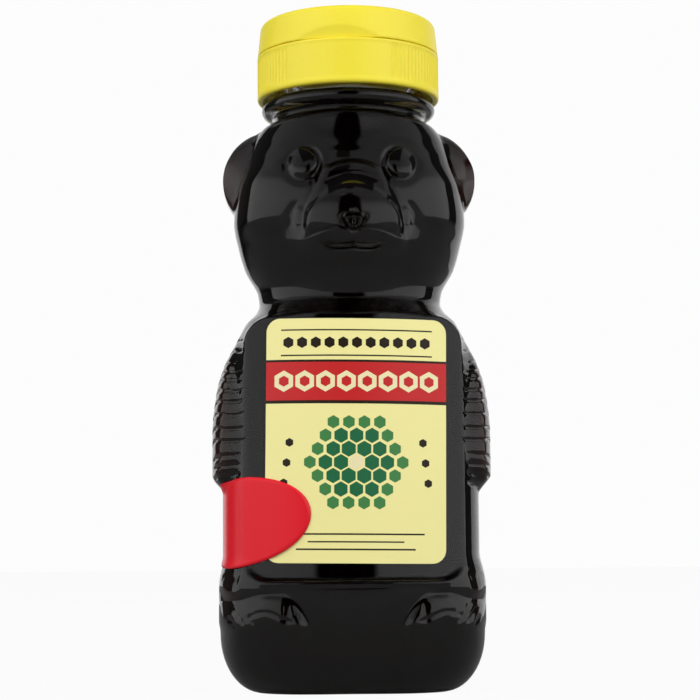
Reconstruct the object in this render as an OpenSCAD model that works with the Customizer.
/* [Bottle body] */
// Width of the body at the waist, between the arms and the feet
waist_w = 57.6; // [54:0.2:61]
// Depth of the body over the front and rear panels
body_d = 47; // [44:0.2:50]
// Width over both feet and hips
feet_w = 60.2; // [58:0.2:63]
// Depth over the lap and the seat
lap_d = 49.4; // [47:0.2:52]
// Width over both arms
arms_w = 63.2; // [61:0.2:66]
// Width at the crease between shoulders and head
crease_w = 41.6; // [38:0.2:44]
// Depth at the crease between shoulders and head
crease_d = 38.6; // [36:0.2:41]
// Width of the head over the cheeks
head_w = 53.2; // [50:0.2:55]
// Depth of the head without the muzzle
head_d = 45; // [42:0.2:47]
// Wall of the moulded bottle
wall = 0.8; // [0.6:0.05:1.1]

/* [Heights from the table] */
// Widest level of the feet
feet_z = 19; // [17:0.2:21]
// Top of the hips, where the waist begins
waist_z = 30.4; // [29.4:0.2:32]
// Start of the shoulder slope
shoulder_z = 67.8; // [65:0.2:70]
// Crease between shoulders and head
crease_z = 87.4; // [86.6:0.2:88.2]
// Widest level of the head
cheek_z = 106.4; // [105:0.2:108]
// Top of the head, where the straight neck begins
crown_z = 129.6; // [128.8:0.2:130.4]

/* [Base] */
// Width of the rounded bottom corner
corner_w = 9; // [7:0.5:11]
// Height of the rounded bottom corner
corner_h = 13; // [10:0.5:15]
// Width of the flat ring that the bottle stands on
stand_w = 3; // [2:0.25:4]
// Height of the hollow under the base
pushup_h = 2; // [1:0.25:3]

/* [Front and rear panels] */
// Width of a panel inside its rim
panel_w = 48.6; // [46:0.2:50]
// Lower edge of a panel
panel_z0 = 24.8; // [24:0.2:26]
// Upper edge of a panel
panel_z1 = 82.8; // [81:0.2:84]
// Corner radius of a panel
panel_r = 6; // [4:0.25:8]
// Radius of a panel's curve round the body
panel_curve_r = 60; // [50:1:80]
// Depth of a panel below its rim
panel_recess = 0.5; // [0.3:0.05:0.8]

/* [Face] */
// Height of the muzzle's middle
muzzle_z = 102.8; // [101:0.2:104]
// Width of the muzzle at the mouth
muzzle_w = 24; // [22.4:0.2:25.6]
// Distance that the whole muzzle stands out
muzzle_out = 4.6; // [3.5:0.1:5.5]
// Width of the flat bridge between the eyes
bridge_w = 13; // [11:0.2:14]
// Height of the bridge above the muzzle's middle
bridge_h = 14.4; // [13:0.2:15.4]
// Distance that the bridge stands out
bridge_out = 1.4; // [1:0.1:2]
// Width of the round snout on the bridge
snout_w = 22.4; // [20:0.2:23.2]
// Height of the snout above the muzzle's middle
snout_high = 9.4; // [8.6:0.2:10.6]
// Depth of the snout below the muzzle's middle
snout_low = 6.6; // [5.8:0.2:7.4]
// Width of the nose
nose_w = 5.6; // [5:0.1:6.4]
// Height of the nose
nose_h = 4.4; // [4:0.1:5]
// Distance that the nose stands out
nose_out = 1.4; // [0.8:0.1:2]
// Distance between the eyes' centres
eye_pitch = 20.9; // [19.7:0.2:22.1]
// Height of the eyes
eye_z = 118.4; // [117.2:0.2:119.2]
// Diameter of an eye
eye_d = 7.2; // [6:0.2:8]
// Distance that an eye stands out of its socket
eye_out = 1.7; // [1.2:0.1:2]

/* [Ears] */
// Width over both ears
ears_w = 58.2; // [56:0.2:60]
// Height of the ears' centre
ear_z = 116.1; // [115.1:0.2:117.5]
// Radius of an ear
ear_r = 11.9; // [9.9:0.2:12.7]
// Thickness of an ear
ear_t = 7; // [5.5:0.25:8]

/* [Arms and feet] */
// Underside of the paws
paw_z = 44.2; // [43:0.2:46]
// Height of the elbow above the paws
elbow_h = 15; // [12:0.5:18]
// Depth of an arm, front to back
arm_d = 26; // [22:0.5:27]
// Distance that the arms' middle lies ahead of the ears
arm_ahead = 3; // [0:0.25:5]
// Distance between the feet's centres
foot_pitch = 37; // [34:0.5:39]
// Width of a foot
foot_w = 15; // [13:0.5:17]
// Top of a foot
foot_top_z = 22; // [20:0.5:23]
// Height of a foot's crest, where the sole begins
crest_z = 15.6; // [14:0.2:17]
// Distance that a foot stands out of the lap
foot_out = 1.3; // [0.8:0.1:2]

/* [Neck finish] */
// Bore of the neck
neck_bore_d = 31.4; // [30.4:0.1:32]
// Diameter of the neck below the bead
neck_d = 33.8; // [33.2:0.1:34.4]
// Diameter of the neck above the bead, under the screw cap
finish_d = 35; // [34.6:0.1:36]
// Diameter of the bead under the cap
bead_d = 40.2; // [39:0.1:40.8]
// Height of the bead's middle above the crown
bead_rise = 3.3; // [2.8:0.1:3.6]
// Height of the bead
bead_h = 3.4; // [2.6:0.1:3.8]
// Height of the neck, from the crown to the mouth's rim
neck_h = 13.9; // [12.8:0.1:14.8]

/* [Screw cap] */
// Outer diameter of the cap
cap_d = 42.2; // [41.6:0.1:43.4]
// Inner diameter of the skirt
skirt_bore_d = 39.2; // [38.6:0.1:39.6]
// Height of the skirt, from its lower edge to the parting line
skirt_h = 10.3; // [9.4:0.1:10.5]
// Thickness of the deck over the mouth
deck_t = 1.2; // [1:0.1:1.6]
// Number of grip rib places round the skirt
rib_places = 112; // [80:4:140]
// Height of a grip rib
rib_out = 0.25; // [0.15:0.05:0.35]
// Angle of the smooth field at the front of the skirt
smooth_field = 68; // [40:1:90]
// Angle that the closed cap is turned from the bear's front
cap_home = -9; // [-90:1:90]
// Thickness of the sealing disc
liner_t = 0.6; // [0.4:0.05:1]

/* [Spout] */
// Bore of the pouring spout
spout_bore_d = 7.2; // [6.6:0.1:9]
// Wall of the pouring spout
spout_wall = 1; // [0.8:0.1:1.4]
// Height of the spout above the deck
spout_h = 4.2; // [4:0.1:4.6]

/* [Flip lid] */
// Height of the closed lid above the parting line
lid_h = 8.3; // [7.8:0.1:8.8]
// Inward taper of the lid, at its shoulder
lid_taper = 0.6; // [0.3:0.05:1]
// Radius of the lid's shoulder
lid_edge_r = 1.6; // [1.2:0.1:2.4]
// Crown of the lid's top
lid_crown = 0.7; // [0.3:0.1:1.2]
// Wall of the lid
lid_wall = 1.4; // [1.2:0.1:1.6]
// Width of the thumb scoop
scoop_w = 19.4; // [16:0.2:22]
// Height of the thumb scoop
scoop_h = 3.9; // [3:0.1:4.6]
// Depth of the thumb scoop at the lid's edge
scoop_d = 0.9; // [0.5:0.05:1]
// Width of the living hinge
hinge_w = 9; // [7:0.25:11]
// Thickness of the living hinge
hinge_t = 0.5; // [0.4:0.05:0.7]

/* [Labels] */
// Width of the front label
label_w = 39.6; // [36:0.2:42]
// Height of the front label
label_h = 53.4; // [48:0.2:54.4]
// Corner radius of the front label
label_r = 3; // [2:0.25:4]
// Height of the label's lower edge
label_z = 28.4; // [27.6:0.2:29.2]
// Distance of the label's middle from the panel's middle
label_x = 0.4; // [-2:0.1:2]
// Tilt of the front label
label_tilt = 0.7; // [-2:0.1:2]
// Thickness of a label
label_t = 0.15; // [0.1:0.01:0.2]
// Width of the oval sticker, round the body
sticker_w = 34.6; // [28:0.2:36]
// Height of the oval sticker
sticker_h = 19.4; // [16:0.2:22]
// Height of the sticker's middle
sticker_z = 37.4; // [36:0.2:39]
// Place of the sticker's middle round the body, from the left side towards the front
sticker_turn = 33; // [26:0.5:36]
// Tilt of the sticker
sticker_tilt = 9; // [-20:1:20]

/* [Clearances] */
// Gap between a label and its panel
label_gap = 0.05; // [0.03:0.01:0.1]
// Gap between the sticker and the label that it overlaps
sticker_gap = 0.2; // [0.15:0.01:0.3]
// Gap between the honey and the wall
honey_gap = 0.15; // [0.12:0.01:0.25]
// Gap between the sealing disc and the parts above and below it
liner_gap = 0.05; // [0.03:0.01:0.1]
// Gap between the lid and the skirt at the parting line
parting_gap = 0.2; // [0.15:0.05:0.3]
// Gap between the lid's plug and the spout
plug_gap = 0.12; // [0.08:0.01:0.2]

/* [Hidden] */

// Distance that the bottle's axis lies behind the middle of its box, because the nose stands out
axis_y = (head_d / 2 + muzzle_out + nose_out - lap_d / 2) / 2;
module on_axis() {
    translate([0, axis_y, 0]) children();
}

// Heights of the neck's parts from the table
bead_z = crown_z + bead_rise;
mouth_z = crown_z + neck_h;

// Directions round the moulded body in degrees, closest at the face, close at the ears
half_turns = concat(
    [for (i = [0 : 12]) i * 3],
    [for (i = [1 : 7]) 36 + i * 5],
    [for (i = [1 : 9]) 71 + i * 31 / 9],
    [for (i = [1 : 7]) 102 + i * 78 / 8]
);
columns = concat(
    [for (t = half_turns) -90 + t],
    [90],
    [for (i = [len(half_turns) - 1 : -1 : 1]) -90 - half_turns[i]]
);
core_columns = [for (i = [0 : 2 : len(columns) - 1]) columns[i]];

// Levels of the body: height, half width, front depth, rear depth, squareness
hip_z = (feet_z + waist_z) / 2;
levels = [
    [corner_h, feet_w / 2 - 0.35, lap_d / 2 - 0.4, lap_d / 2 - 0.3, 2.9],
    [feet_z - 3, feet_w / 2, lap_d / 2 - 0.15, lap_d / 2, 2.9],
    [hip_z - 1, feet_w / 2, lap_d / 2, lap_d / 2 - 0.5, 3],
    [waist_z - 3, feet_w / 2 - 0.6, body_d / 2, body_d / 2, 3],
    [waist_z, waist_w / 2, body_d / 2, body_d / 2, 3],
    [(waist_z + shoulder_z) / 2, waist_w / 2, body_d / 2, body_d / 2, 3],
    [shoulder_z, waist_w / 2, body_d / 2, body_d / 2, 3],
    [shoulder_z + 5, waist_w / 2 - 0.7, body_d / 2, body_d / 2, 3],
    [shoulder_z + 10, waist_w / 2 - 2.6, body_d / 2 - 0.1, body_d / 2 - 0.1, 3],
    [crease_z - 5, crease_w / 2 + 3.2, body_d / 2 - 0.6, body_d / 2 - 0.8, 2.9],
    [crease_z - 2.2, crease_w / 2 + 0.8, crease_d / 2 + 1.6, crease_d / 2 + 1.4, 2.5],
    [crease_z, crease_w / 2, crease_d / 2, crease_d / 2, 2.2],
    [crease_z + 2.4, crease_w / 2 + 0.3, crease_d / 2 + 0.5, crease_d / 2 + 0.4, 2.1],
    [crease_z + 8, head_w / 2 - 2.6, head_d / 2 - 1.2, head_d / 2 - 1.6, 2.1],
    [crease_z + 13, head_w / 2 - 1.1, head_d / 2 - 0.2, head_d / 2 - 0.5, 2.1],
    [cheek_z, head_w / 2, head_d / 2, head_d / 2, 2.1],
    [cheek_z + 7, head_w / 2 - 0.7, head_d / 2 - 0.7, head_d / 2 - 0.3, 2.1],
    [cheek_z + 14, head_w / 2 - 2.8, head_d / 2 - 2.9, head_d / 2 - 2, 2.1],
    [crown_z - 5, neck_d / 2 + 5.5, neck_d / 2 + 1.5, neck_d / 2 + 3.4, 2.05],
    [crown_z - 2.4, neck_d / 2 + 4, neck_d / 2 + 1.1, neck_d / 2 + 1.9, 2],
    [crown_z - 1, neck_d / 2 + 2.7, neck_d / 2 + 0.9, neck_d / 2 + 1.1, 2],
    [crown_z, neck_d / 2 + 0.8, neck_d / 2 + 0.6, neck_d / 2 + 0.6, 2]
];

function mix(a, b, k) = a + (b - a) * k;
function clamp01(v) = max(0, min(1, v));
function ease(a, b, v) = let (k = clamp01((v - a) / (b - a))) k * k * (3 - 2 * k);

// Slope of one column of the levels at level i, held flat where it turns
function slope(i, c) =
    (i == 0 || i == len(levels) - 1) ? 0 :
    let (
        d0 = (levels[i][c] - levels[i - 1][c]) / (levels[i][0] - levels[i - 1][0]),
        d1 = (levels[i + 1][c] - levels[i][c]) / (levels[i + 1][0] - levels[i][0])
    )
    d0 * d1 <= 0 ? 0 : 2 * d0 * d1 / (d0 + d1);

function span_at(z, i = 0) = (i >= len(levels) - 2 || z < levels[i + 1][0]) ? i : span_at(z, i + 1);

// Smooth value of column c of the levels at height z
function level_value(z, c, i) =
    let (
        h = levels[i + 1][0] - levels[i][0],
        k = clamp01((z - levels[i][0]) / h),
        m0 = slope(i, c) * h,
        m1 = slope(i + 1, c) * h
    )
    levels[i][c] * (1 + 2 * k) * (1 - k) * (1 - k) + m0 * k * (1 - k) * (1 - k)
    + levels[i + 1][c] * k * k * (3 - 2 * k) - m1 * k * k * (1 - k);

// Radius of the plain body in direction t at height z
function plain_r(t, z) =
    let (
        i = span_at(z),
        a = level_value(z, 1, i),
        b = level_value(z, sin(t) < 0 ? 2 : 3, i),
        n = level_value(z, 4, i)
    )
    pow(pow(abs(cos(t)) / a, n) + pow(abs(sin(t)) / b, n), -1 / n);

// Share of a rounded panel at x, z: 1 inside, 0 outside its edge
function panel_share(x, z) =
    let (
        px = max(0, abs(x) - panel_w / 2 + panel_r),
        pz = max(0, abs(z - (panel_z0 + panel_z1) / 2) - (panel_z1 - panel_z0) / 2 + panel_r)
    )
    1 - ease(-0.4, 0.6, norm([px, pz]) - panel_r);

// Depth of a panel's face at x
panel_y = body_d / 2 - panel_recess;
function panel_face(x) = panel_y - panel_curve_r + sqrt(panel_curve_r * panel_curve_r - x * x);

// Muzzle at x, z: a flat bridge that widens downwards, and the round snout on it
function bridge(x, up) =
    let (
        half = mix(bridge_w, muzzle_w, ease(bridge_h, 0, up)) / 2,
        below = up < 0 ? norm([x / (muzzle_w / 2 + 0.4), up / snout_low]) : 0
    )
    (1 - ease(bridge_h - 1.2, bridge_h + 0.6, up)) * (1 - ease(half - 1.2, half + 1, abs(x)))
    * (1 - ease(0.8, 1.12, below));
function snout_q(x, up) =
    let (n = up > 0 ? 1.8 : 2)
    pow(pow(abs(x) / (snout_w / 2), n) + pow(abs(up) / (up > 0 ? snout_high : snout_low), n), 1 / n);
function snout(x, up) = let (q = snout_q(x, up)) 0.4 * (1 - ease(0.84, 1.03, q)) + 0.6 * max(0, 1 - q * q);
snout_out = muzzle_out - bridge_out;
function muzzle(x, z) = bridge_out * bridge(x, z - muzzle_z) + snout_out * snout(x, z - muzzle_z);

// Hollow behind the snout, softer than its outside
function snout_hollow(x, z) = snout_out * 0.94 * (1 - ease(0.25, 0.9, snout_q(x, z - muzzle_z)));

// Nose at x, z
function nose(x, z) = nose_out * (1 - ease(0.5, 1.3, norm([x / (nose_w / 2), (z - muzzle_z) / (nose_h / 2)])));

// Eye at x, z: a dome in a shallow socket under its brow
function eye(x, z) =
    let (
        side = abs(x) - eye_pitch / 2,
        q = norm([side, z - eye_z]) / (eye_d / 2),
        brow = 1 - ease(0.55, 1.1, norm([side / brow_w, (z - eye_z - brow_rise) / brow_h]))
    )
    eye_out * (1 - ease(0.3, 1.25, q)) - socket_depth * ease(0.7, 1.1, q) * max(1 - ease(1, 1.45, q), brow);
socket_depth = 0.5;
brow_w = 5.4;
brow_h = 5.2;
brow_rise = 2.2;

// Foot at x, z: a rounded toe cap that rises to a wavy crest, over the sole
function foot(x, z) =
    let (
        away = abs(x) - foot_pitch / 2,
        half = foot_w / 2,
        top = foot_top_z - (away < 0 ? toe_drop * pow(min(1.2, -away / half), 2.6) : 2 * away / half),
        crest = crest_z + 2.2 * (1 - ease(0, half - 1, abs(away - 1.3))),
        rise = clamp01((top - z) / max(0.6, top - crest)),
        inner = 1 - ease(half - 1.6, half + 1.4, -away),
        outer = 1 - ease(half, half + 5, away)
    )
    foot_out * (1 - pow(1 - rise, 1.8)) * inner * outer * ease(2, 12, z);
toe_drop = 6.2;

// Arm at height z: how far along it is from the elbow, its half depth, its middle and its lift
elbow_z = paw_z + elbow_h;
function arm_k(z) = z < elbow_z ? (elbow_z - z) / (elbow_h + 0.6) : (z - elbow_z) / (panel_z1 - elbow_z + 2);
function arm_reach(z) =
    let (k = arm_k(z)) k >= 1 ? 0 : arm_d / 2 * pow(1 - pow(k, z < elbow_z ? 3.2 : 2), 0.5);
function arm_middle(z) = let (k = arm_k(z)) -arm_ahead - (z < elbow_z ? 1.8 * k * k : -1.5 * k);
function arm_lift(z, low) =
    (arms_w - waist_w) / 2 * ease(low, low + 3, z) * (1 - ease(elbow_z - 2, panel_z1 - 1.2, z));

// Bump of an arm at depth y, height z: it hangs from the shoulder, and its paw turns forwards
function arm(y, z) =
    let (reach = arm_reach(z))
    reach < 0.5 ? 0 : arm_lift(z, paw_z - 0.5) * (1 - ease(reach - 2.2, reach + 0.8, abs(y - arm_middle(z))));

// Hollow of an arm, softer than its outside
function arm_hollow(y, z) =
    let (reach = arm_reach(z) - 4)
    reach < 0.5 ? 0 : 0.92 * arm_lift(z, paw_z + 1.5) * (1 - ease(reach - 2, reach + 3, abs(y - arm_middle(z))));

// Edge of an ear at height z, inset from its outside
ear_x = ears_w / 2 - ear_r;
function ear_edge(z, inset = 0) =
    let (r = ear_r - inset)
    abs(z - ear_z) < r ? ear_x + sqrt(r * r - pow(z - ear_z, 2)) : 0;

// A point of the body moved by everything that stands out of it or is pressed in
function sculpt(p) =
    let (
        front = p[1] < 0,
        share = panel_share(p[0], p[2]),
        face = front ? muzzle(p[0], p[2]) + nose(p[0], p[2]) + eye(p[0], p[2]) + foot(p[0], p[2]) : 0,
        flat_y = mix(abs(p[1]), panel_face(min(abs(p[0]), panel_w / 2)), share) + face,
        side = p[0] < 0 ? -1 : 1,
        out_x = abs(p[0]) + arm(p[1], p[2]),
        ear_half = ear_t / 2 * sqrt(max(0.1, 1 - pow((p[2] - ear_z) / (ear_r + 2), 2))),
        ear_share = 1 - ease(ear_half - 0.5, ear_half + 0.9, abs(p[1])),
        ear_out = mix(out_x, max(out_x, ear_edge(p[2])), ear_share)
    )
    [abs(p[0]) < 1 ? p[0] : side * ear_out, front ? -flat_y : flat_y, p[2]];

// A point of the smooth inside, which follows the panels, the snout, the arms and the ears
ear_core = 2.6;
function inner_point(t, z, inset) =
    let (
        r = plain_r(t, z),
        p = (r - inset) * [cos(t), sin(t)],
        flat_y = panel_face(min(abs(p[0]), panel_w / 2)) - inset,
        depth = mix(abs(p[1]), flat_y, panel_share(r * cos(t), z)),
        arm_out = abs(p[0]) + arm_hollow(p[1], z),
        ear_share = 1 - ease(ear_core / 2, ear_core, abs(p[1])),
        ear_out = mix(arm_out, max(arm_out, ear_edge(z, inset + 0.6)), ear_share)
    )
    [sign(p[0]) * ear_out, p[1] < 0 ? -depth - snout_hollow(p[0], z) : depth, z];

function outer_ring(z) = [for (t = columns) let (r = plain_r(t, z)) sculpt([r * cos(t), r * sin(t), z])];

function inner_ring(z, inset) = [for (t = core_columns) inner_point(t, z, inset)];

// A ring of the rounded bottom corner, phi from 0 under the base to 90 at its side
function corner_ring(phi, inset, turns) =
    [for (t = turns) let (
        r = plain_r(t, corner_h) - inset - (corner_w - inset) * (1 - sin(phi)),
        z = inset + (corner_h - inset) * (1 - cos(phi))
    ) [r * cos(t), r * sin(t), z]];

function sculpt_ring(ring) = [for (p = ring) sculpt(p)];

// A ring under the base, share of the way from the centre to the standing ring
function base_ring(share, inset, turns) =
    [for (t = turns) let (
        r = (plain_r(t, corner_h) - corner_w - stand_w) * share,
        z = inset + pushup_h * (1 - share * share)
    ) [r * cos(t), r * sin(t), z]];

// Extra wall of the sides, and the step between the hollow and the neck's bore
side_extra = 0.3;
neck_ledge = 0.3;

// Step between the rings of the torso
torso_step = (panel_z1 - 2 - waist_z) / 16;

// Heights of the body's rings, closer where the form turns
outer_heights = concat(
    [for (i = [1 : 8]) corner_h + i * (waist_z - 4.5 - corner_h) / 8],
    [for (i = [1 : 3]) waist_z - 4.5 + i * 1.5],
    [for (i = [1 : 16]) waist_z + i * torso_step],
    [for (i = [1 : 9]) mix(panel_z1 - 2, crease_z + 3, i / 9)],
    [for (i = [1 : 24]) mix(crease_z + 3, crown_z - 2.4, i / 24)],
    [crown_z - 1, crown_z]
);
inner_heights = concat(
    [for (i = [1 : 2]) mix(corner_h, waist_z - 3, i / 2)],
    [waist_z, paw_z - 3, paw_z + 1, paw_z + 5, paw_z + 10, elbow_z, shoulder_z],
    [panel_z1 - 7, panel_z1 - 1, crease_z - 4, crease_z, crease_z + 4, crease_z + 9],
    [cheek_z - 2, cheek_z + 4, cheek_z + 10, cheek_z + 15, crown_z - 4]
);

function reversed(list) = [for (i = [len(list) - 1 : -1 : 0]) list[i]];
function circle_ring(r, z, turns) = [for (t = turns) [r * cos(t), r * sin(t), z]];

// Faces between two rings of points that start at a and b, n points each or 2n against n
function band(a, b, n) = concat(
    [for (i = [0 : n - 1]) [a + i, b + i, b + (i + 1) % n]],
    [for (i = [0 : n - 1]) [a + i, b + (i + 1) % n, a + (i + 1) % n]]
);
function halving_band(a, b, n) = concat(
    [for (i = [0 : n - 1]) [a + 2 * i, b + i, a + 2 * i + 1]],
    [for (i = [0 : n - 1]) [a + 2 * i + 1, b + i, b + (i + 1) % n]],
    [for (i = [0 : n - 1]) [a + 2 * i + 1, b + (i + 1) % n, a + (2 * i + 2) % (2 * n)]]
);
function fan(tip, a, n, flip) =
    [for (i = [0 : n - 1]) flip ? [tip, a + (i + 1) % n, a + i] : [tip, a + i, a + (i + 1) % n]];

// Solid through a list of rings from the top down, closed by a point at either end
module ring_solid(rings, top, bottom) {
    n = len(rings[0]);
    tip = 1 + len(rings) * n;
    faces = concat(
        fan(0, 1, n, true),
        [for (r = [0 : len(rings) - 2]) for (f = band(1 + r * n, 1 + (r + 1) * n, n)) reversed(f)],
        fan(tip, tip - n, n, false)
    );
    polyhedron(concat([top], [for (ring = rings) each ring], [bottom]), faces, convexity = 10);
}

// The moulded bear: outside from the base's middle up to the crown, then inside down again
module bear_shell() {
    outside = concat(
        [base_ring(0.5, 0, columns), base_ring(1, 0, columns)],
        [for (phi = [0 : 15 : 90]) sculpt_ring(corner_ring(phi, 0, columns))],
        [for (z = outer_heights) outer_ring(z)]
    );
    inside = concat(
        [circle_ring(neck_bore_d / 2 - neck_ledge, crown_z, core_columns)],
        core_rings(wall)
    );
    n = len(columns);
    m = len(core_columns);
    inner_start = 1 + len(outside) * n;
    tip = inner_start + len(inside) * m;
    points = concat(
        [[0, 0, pushup_h]],
        [for (ring = outside) each ring],
        [for (ring = inside) each ring],
        [[0, 0, pushup_h + wall]]
    );
    faces = concat(
        fan(0, 1, n, false),
        [for (r = [0 : len(outside) - 2]) each band(1 + r * n, 1 + (r + 1) * n, n)],
        halving_band(inner_start - n, inner_start, m),
        [for (r = [0 : len(inside) - 2]) each band(inner_start + r * m, inner_start + (r + 1) * m, m)],
        fan(tip, tip - m, m, true)
    );
    polyhedron(points, faces, convexity = 10);
}

// Rings of the hollow from the neck down to the floor, wall_in inside the outer form
function core_rings(wall_in) = concat(
    [for (z = reversed(inner_heights)) inner_ring(z, wall_in + side_extra)],
    [for (phi = [90 : -30 : 0]) corner_ring(phi, wall_in, core_columns)],
    [base_ring(1, wall_in, core_columns)]
);

// Neck with its bead, up to the mouth: its foot ends within the crown's wall
module neck_finish() {
    foot_z = crown_z - neck_root;
    bead_r = bead_h * bead_roundness;
    rotate_extrude($fn = 96)
        difference() {
            union() {
                translate([0, foot_z]) square([neck_d / 2, bead_z - foot_z]);
                translate([0, bead_z]) square([finish_d / 2, mouth_z - bead_z]);
                intersection() {
                    translate([bead_d / 2 - bead_r, bead_z]) circle(r = bead_r, $fn = 48);
                    translate([0, bead_z - bead_h / 2]) square([bead_d, bead_h]);
                }
            }
            translate([0, foot_z - 1]) square([neck_bore_d / 2, mouth_z - foot_z + 2]);
        }
}
neck_root = 0.2;
bead_roundness = 0.62;

module bottle() {
    color([0.16, 0.11, 0.09, 0.55]) on_axis() union() {
        bear_shell();
        neck_finish();
    }
}

// The honey, up to its level in the neck
fill_z = bead_z + 1.1;
module honey() {
    inset = wall + honey_gap;
    neck_r = neck_bore_d / 2 - neck_ledge - honey_gap;
    rings = concat([for (z = [fill_z, crown_z]) circle_ring(neck_r, z, core_columns)], core_rings(inset));
    color([0.2, 0.07, 0.02]) on_axis() ring_solid(rings, [0, 0, fill_z], [0, 0, pushup_h + inset]);
}

// Levels of the closure, from the mouth upwards
liner_z = mouth_z + liner_gap;
deck_z = liner_z + liner_t + liner_gap;
parting_z = deck_z + deck_t;
skirt_z = parting_z - skirt_h;
lid_z = parting_z + parting_gap;
hinge_y = cap_d / 2 + 0.35;
hinge_z = parting_z + parting_gap / 2;

module seal_liner() {
    color("whitesmoke") on_axis() translate([0, 0, liner_z]) cylinder(d = finish_d + 1.6, h = liner_t, $fn = 96);
}

// Outline of the ribbed skirt, smooth at the front
rib_ease = 0.06;
core_ease = 0.1;
function rib_outline() =
    let (pitch = 360 / rib_places, crest = cap_d / 2 - rib_ease, root = crest - rib_out)
    [for (i = [0 : rib_places - 1]) for (k = [0 : 3]) let (
        t = -90 + (i + k / 4) * pitch,
        away = min(i, rib_places - 1 - i) * pitch,
        r = away < smooth_field / 2 || k > 1 ? crest : root
    ) [r * cos(t), r * sin(t)]];

band_h = 1.2;
ring_d = cap_d - 2 * lid_wall - 0.9;
module cap_base() {
    spout_d = spout_bore_d + 2 * spout_wall;
    edge = 0.5;
    color("gold") on_axis() rotate([0, 0, cap_home]) difference() {
        union() {
            rotate_extrude($fn = 96) union() {
                translate([0, skirt_z + edge]) square([cap_d / 2, band_h - edge]);
                translate([0, skirt_z]) square([cap_d / 2 - edge, band_h]);
                translate([cap_d / 2 - edge, skirt_z + edge]) circle(r = edge, $fn = 32);
                translate([0, skirt_z + edge]) square([cap_d / 2 - rib_ease - rib_out - core_ease, skirt_h - edge]);
                translate([0, parting_z - 0.8]) square([cap_d / 2, 0.8]);
            }
            translate([0, 0, skirt_z + band_h - 0.1]) linear_extrude(skirt_h - band_h - 0.4) polygon(rib_outline());
            translate([0, 0, parting_z - 0.2]) cylinder(d = ring_d, h = 1.2, $fn = 96);
            translate([0, 0, parting_z - 0.2]) cylinder(d = spout_d, h = spout_h + 0.2, $fn = 64);
        }
        translate([0, 0, skirt_z - 1]) cylinder(d = skirt_bore_d, h = deck_z - skirt_z + 1, $fn = 96);
        translate([0, 0, deck_z - 1]) cylinder(d = spout_bore_d, h = deck_t + spout_h + 2, $fn = 64);
        translate([0, 0, parting_z]) difference() {
            cylinder(d = ring_d - 1.6, h = 2, $fn = 96);
            translate([0, 0, -1]) cylinder(d = spout_d, h = 4, $fn = 64);
        }
    }
}

// Half section of the lid's dome, grown or shrunk by its wall
lid_r = cap_d / 2 - 0.1;
module lid_profile(inset) {
    shoulder = lid_r - lid_taper - inset;
    edge = lid_edge_r - min(inset, lid_edge_r - 0.4);
    top = lid_h - lid_crown - inset;
    crown_r = (shoulder * shoulder + lid_crown * lid_crown) / (2 * lid_crown);
    polygon([[0, 0], [lid_r - inset, 0], [shoulder, top - edge], [0, top - edge]]);
    square([shoulder - edge, top]);
    translate([shoulder - edge, top - edge]) circle(r = edge, $fn = 48);
    intersection() {
        translate([0, top + lid_crown - crown_r]) circle(r = crown_r, $fn = 360);
        translate([0, top - edge / 2]) square([shoulder - edge, lid_crown + edge]);
    }
}

module thumb_scoop() {
    flat_r = (scoop_w * scoop_w / 4 + pow(scoop_sag, 2)) / (2 * scoop_sag);
    tilt = atan(scoop_d / scoop_h);
    translate([0, -lid_r + scoop_d, lid_z]) rotate([tilt, 0, 0]) difference() {
        translate([-scoop_w, -2 * scoop_w, -scoop_h]) cube([2 * scoop_w, 3 * scoop_w, 3 * scoop_h]);
        translate([0, flat_r, -2 * scoop_h]) cylinder(r = flat_r, h = 6 * scoop_h, $fn = 128);
        translate([-2 * scoop_w, scoop_w / 3, -2 * scoop_h]) cube([4 * scoop_w, 3 * scoop_w, 6 * scoop_h]);
    }
}
// Rise of the scoop's own curve between its ends
scoop_sag = lid_r - sqrt(lid_r * lid_r - scoop_w * scoop_w / 4) - scoop_d;

module cap_lid() {
    plug_r = spout_bore_d / 2 - plug_gap;
    plug_depth = 1.2;
    plug_tip = parting_z + spout_h - plug_depth;
    plug_wall = 0.9;
    color("gold") on_axis() rotate([0, 0, cap_home]) union() {
        difference() {
            translate([0, 0, lid_z]) rotate_extrude($fn = 128) intersection() {
                lid_profile(0);
                square([cap_d, lid_h + 1]);
            }
            translate([0, 0, lid_z]) rotate_extrude($fn = 128) intersection() {
                translate([0, -0.01]) lid_profile(lid_wall);
                translate([0, -1]) square([cap_d, lid_h + 1]);
            }
            thumb_scoop();
        }
        translate([0, 0, plug_tip]) rotate_extrude($fn = 64)
            polygon([
                [plug_r - plug_wall, 0.2], [plug_r - 0.4, 0], [plug_r, plug_depth],
                [plug_r, lid_h - spout_h + plug_depth - lid_wall + 0.3],
                [plug_r - plug_wall, lid_h - spout_h + plug_depth - lid_wall + 0.3]
            ]);
    }
}

// Folded web that joins the lid to the skirt
module lid_hinge() {
    color("gold") on_axis() rotate([0, 0, cap_home]) difference() {
        translate([-hinge_w / 2, hinge_y, hinge_z]) rotate([0, 90, 0]) cylinder(r = hinge_t, h = hinge_w, $fn = 48);
        cylinder(d = cap_d + 0.06, h = 2 * hinge_z, $fn = 128);
    }
}

module rounded_plate(w, h, r) {
    square([w - 2 * r, h], center = true);
    square([w, h - 2 * r], center = true);
    for (x = [r - w / 2, w / 2 - r]) for (y = [r - h / 2, h / 2 - r]) translate([x, y]) circle(r = r, $fn = 48);
}

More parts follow.
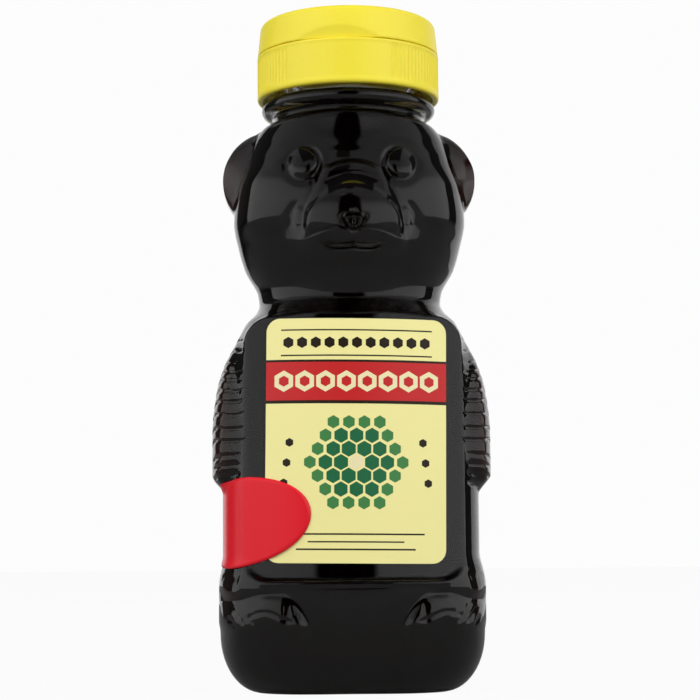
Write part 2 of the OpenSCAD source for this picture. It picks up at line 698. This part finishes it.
module front_label() {
    color("khaki") on_axis() intersection() {
        translate([0, panel_curve_r - panel_y, label_z - 1]) difference() {
            cylinder(r = panel_curve_r + label_gap + label_t, h = label_h + 2, $fn = 256);
            translate([0, 0, -1]) cylinder(r = panel_curve_r + label_gap, h = label_h + 4, $fn = 256);
        }
        translate([label_x, -body_d / 4, label_z + label_h / 2]) rotate([90, label_tilt, 0])
            linear_extrude(body_d) rounded_plate(label_w, label_h, label_r);
    }
}

// Bump of an arm as the body's rings have it, straight from one ring to the next
function ring_arm(y, z) =
    let (z0 = waist_z + floor((z - waist_z) / torso_step) * torso_step)
    mix(arm(y, z0), arm(y, z0 + torso_step), (z - z0) / torso_step);

// Length round the torso, which is squarer than an ellipse
girth = PI * (waist_w + body_d) / 2 * 1.08;

// A point of the body's side, raised by lift, s round the body and z up
function wrap_point(s, z, lift) =
    let (
        t = 180 + sticker_turn + s * 360 / girth,
        r = plain_r(t, z) + lift,
        p = [r * cos(t), r * sin(t), z],
        flat_y = panel_face(min(abs(p[0]), panel_w / 2)) + lift
    )
    [p[0] - ring_arm(p[1], z), -mix(abs(p[1]), max(abs(p[1]) - 1, flat_y), panel_share(p[0], z)), z];

// Thin sheet between two layers of points, each a middle and then its rings of n points
module sheet_solid(low, high, n) {
    side = concat(fan(0, 1, n, false), [for (a = [1 : n : len(low) - n - 1]) each band(a, a + n, n)]);
    top = len(low);
    faces = concat(
        side,
        [for (f = side) [f[2] + top, f[1] + top, f[0] + top]],
        band(top - n, 2 * top - n, n)
    );
    polyhedron(concat(low, high), faces, convexity = 4);
}

module sticker() {
    rim = 40;
    rounds = 6;
    lift = label_gap + label_t + sticker_gap;
    function spot(share, t, up) =
        let (u = share * sticker_w / 2 * cos(t), v = share * sticker_h / 2 * sin(t))
        wrap_point(
            u * cos(sticker_tilt) - v * sin(sticker_tilt),
            sticker_z + u * sin(sticker_tilt) + v * cos(sticker_tilt),
            up
        );
    function layer(up) = concat(
        [spot(0, 0, up)],
        [for (k = [1 : rounds]) for (i = [0 : rim - 1]) spot(k / rounds, i * 360 / rim, up)]
    );
    color("crimson") on_axis() sheet_solid(layer(lift), layer(lift + label_t), rim);
}

bottle();
honey();
seal_liner();
cap_base();
cap_lid();
lid_hinge();
front_label();
sticker();
